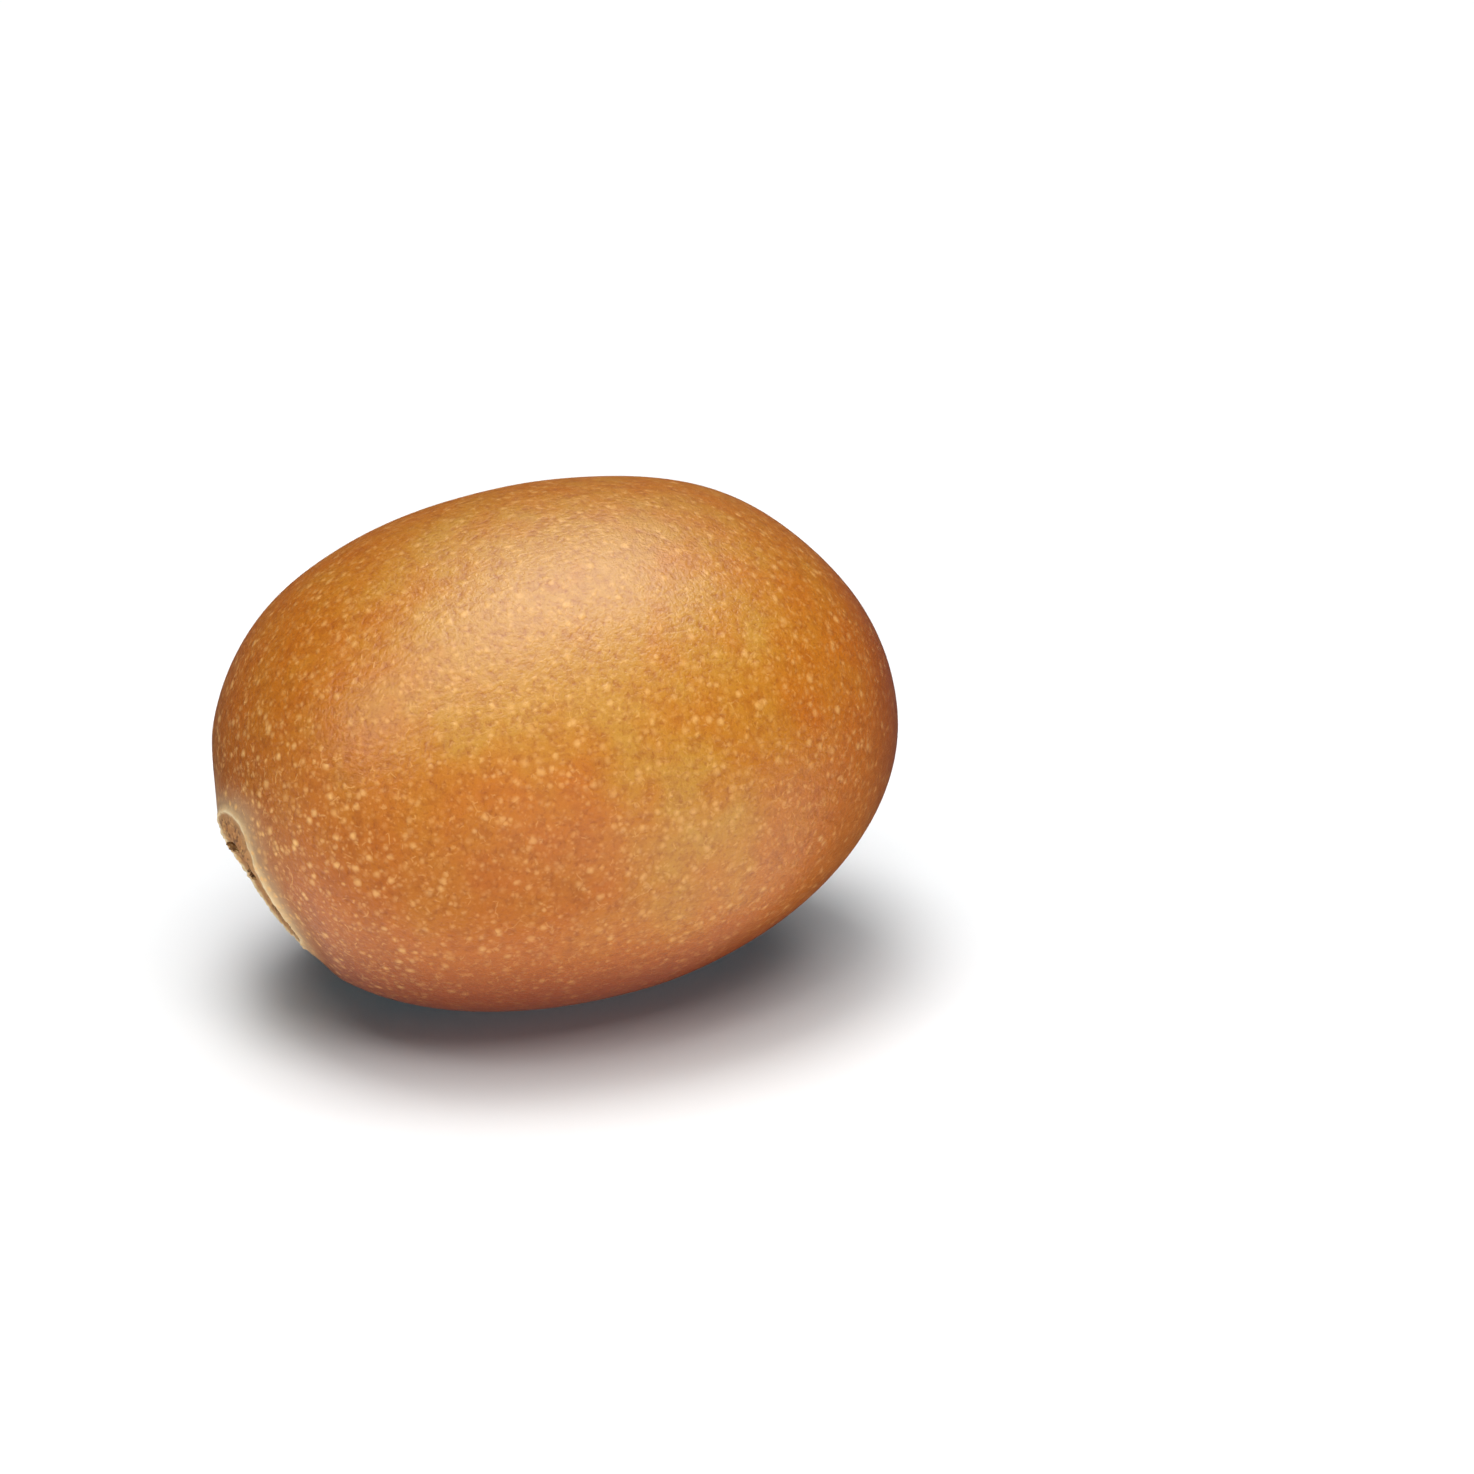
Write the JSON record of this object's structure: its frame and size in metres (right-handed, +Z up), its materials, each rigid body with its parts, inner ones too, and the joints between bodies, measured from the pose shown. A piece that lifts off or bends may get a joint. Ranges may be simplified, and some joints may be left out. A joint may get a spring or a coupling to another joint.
{
  "type": "golden kiwi fruit",
  "caption": "Whole golden kiwi fruit: a smooth oval body lying on its side, with a dried calyx in a shallow cup at one end and a tuft of dried styles at the other.",
  "frame": {"origin": "on the resting plane, straight below the centre of the oval body, in the middle part of the flat spot that the fruit lies on", "axes": "+X along the fruit's length, from the stem end towards the blossom end; +Z up; +Y across"},
  "size_m": [0.072, 0.055, 0.0516],
  "materials": {
    "golden_skin": "satin golden brown fruit skin with fine pale dots",
    "dried_calyx": "matt, corky and brown",
    "dried_styles": "matt, brittle and dark brown"
  },
  "bodies": {
    "root": {"fruit": "golden_skin", "calyx": "dried_calyx", "styles": "dried_styles"}
  },
  "joints": []
}
